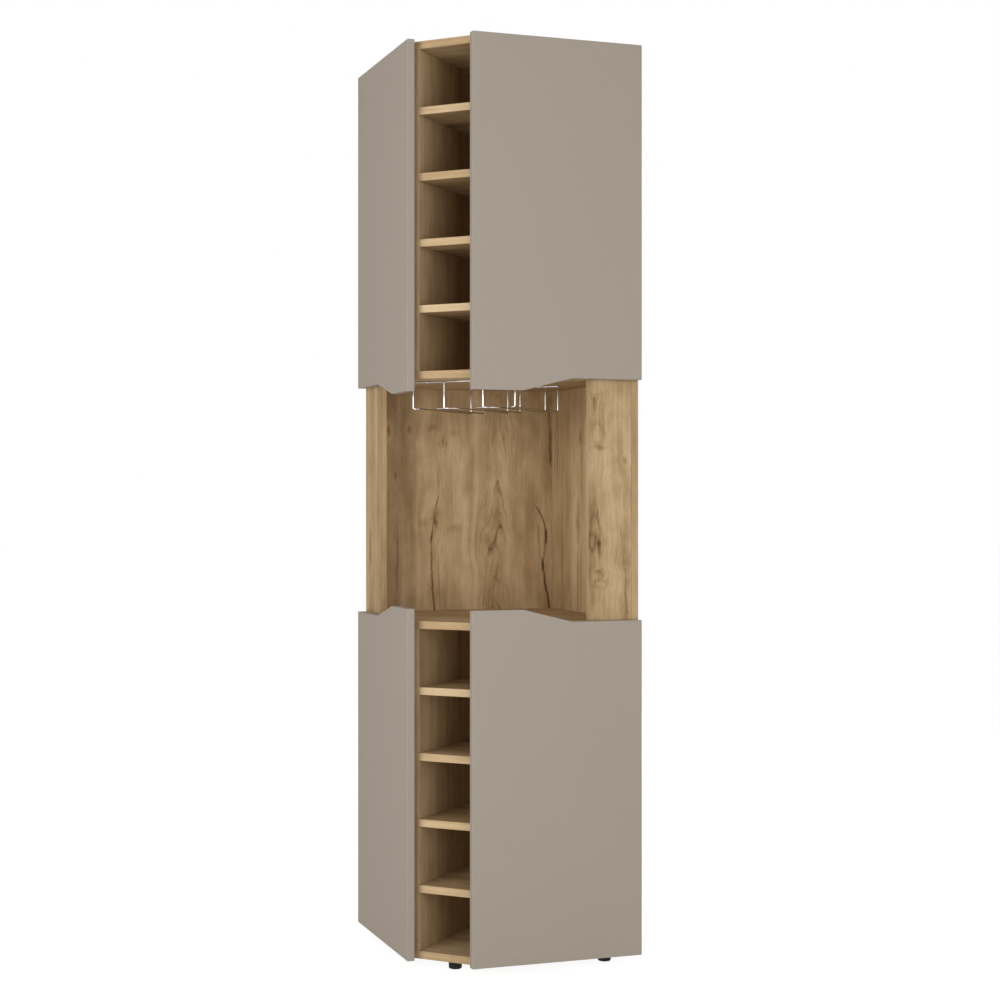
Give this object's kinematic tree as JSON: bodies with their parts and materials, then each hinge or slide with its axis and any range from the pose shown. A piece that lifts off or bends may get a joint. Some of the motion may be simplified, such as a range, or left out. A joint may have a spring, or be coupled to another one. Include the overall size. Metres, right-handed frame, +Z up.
{
  "type": "corner bar cabinet",
  "caption": "Tall corner bar cabinet with diagonal bottle cubbies, an open serving niche with a hanging wire stemware rack, and handleless doors with stepped finger-pull lips.",
  "frame": {"origin": "centre of the square footprint, on the floor", "axes": "+X along the width of the right doors towards the right room wall, +Y towards the back room wall, +Z up"},
  "size_m": [0.45, 0.45, 1.8],
  "materials": {
    "oak_board": "matte rustic oak laminate with open grain, knots and fine cracks",
    "oak_hardboard": "matte printed oak",
    "taupe_lacquer": "matte taupe lacquer",
    "chrome_wire": "bright chrome plate",
    "zinc_steel": "nickel-plated steel",
    "black_plastic": "black moulded plastic",
    "beech": "plain turned beech"
  },
  "bodies": {
    "carcass": {"back_wall_panel": "oak_board", "base_board": "oak_board", "counter_board": "oak_board", "dowels": "beech", "feet": "black_plastic", "hinge_arms": "zinc_steel", "hinge_plates": "zinc_steel", "lower_bottle_shelf_1": "oak_board", "lower_bottle_shelf_2": "oak_board", "lower_bottle_shelf_3": "oak_board", "lower_bottle_shelf_4": "oak_board", "lower_column_back": "oak_hardboard", "lower_partition_left": "oak_board", "lower_partition_right": "oak_board", "lower_shelf_left": "oak_board", "lower_shelf_right": "oak_board", "niche_post_left": "oak_board", "niche_post_right": "oak_board", "rack_clips": "chrome_wire", "rack_end_left": "chrome_wire", "rack_end_right": "chrome_wire", "rack_front_bar": "chrome_wire", "rack_loop_left": "chrome_wire", "rack_loop_right": "chrome_wire", "rack_rear_bar": "chrome_wire", "right_wall_panel": "oak_board", "shelf_pins": "zinc_steel", "top_board": "oak_board", "upper_base_board": "oak_board", "upper_bottle_shelf_1": "oak_board", "upper_bottle_shelf_2": "oak_board", "upper_bottle_shelf_3": "oak_board", "upper_bottle_shelf_4": "oak_board", "upper_column_back": "oak_hardboard", "upper_partition_left": "oak_board", "upper_partition_right": "oak_board", "upper_shelf_left": "oak_board", "upper_shelf_right": "oak_board"},
    "upper_right_door": {"upper_door_right": "taupe_lacquer", "upper_hinge_cups_right": "zinc_steel", "upper_hinge_pins_right": "zinc_steel"},
    "upper_left_door": {"upper_door_left": "taupe_lacquer", "upper_hinge_cups_left": "zinc_steel", "upper_hinge_pins_left": "zinc_steel"},
    "lower_right_door": {"lower_door_right": "taupe_lacquer", "lower_hinge_cups_right": "zinc_steel", "lower_hinge_pins_right": "zinc_steel"},
    "lower_left_door": {"lower_door_left": "taupe_lacquer", "lower_hinge_cups_left": "zinc_steel", "lower_hinge_pins_left": "zinc_steel"}
  },
  "joints": [
    {"name": "upper_right_door_hinge", "type": "hinge", "parent": "carcass", "child": "upper_right_door", "pos_m": [0.218, -0.2188, 0.9], "axis": [0, 0, 1], "range_deg": [0, 90]},
    {"name": "upper_left_door_hinge", "type": "hinge", "parent": "carcass", "child": "upper_left_door", "pos_m": [-0.2188, 0.218, 0.9], "axis": [0, 0, -1], "range_deg": [0, 90]},
    {"name": "lower_right_door_hinge", "type": "hinge", "parent": "carcass", "child": "lower_right_door", "pos_m": [0.218, -0.2188, 0.9], "axis": [0, 0, 1], "range_deg": [0, 90]},
    {"name": "lower_left_door_hinge", "type": "hinge", "parent": "carcass", "child": "lower_left_door", "pos_m": [-0.2188, 0.218, 0.9], "axis": [0, 0, -1], "range_deg": [0, 90]}
  ]
}
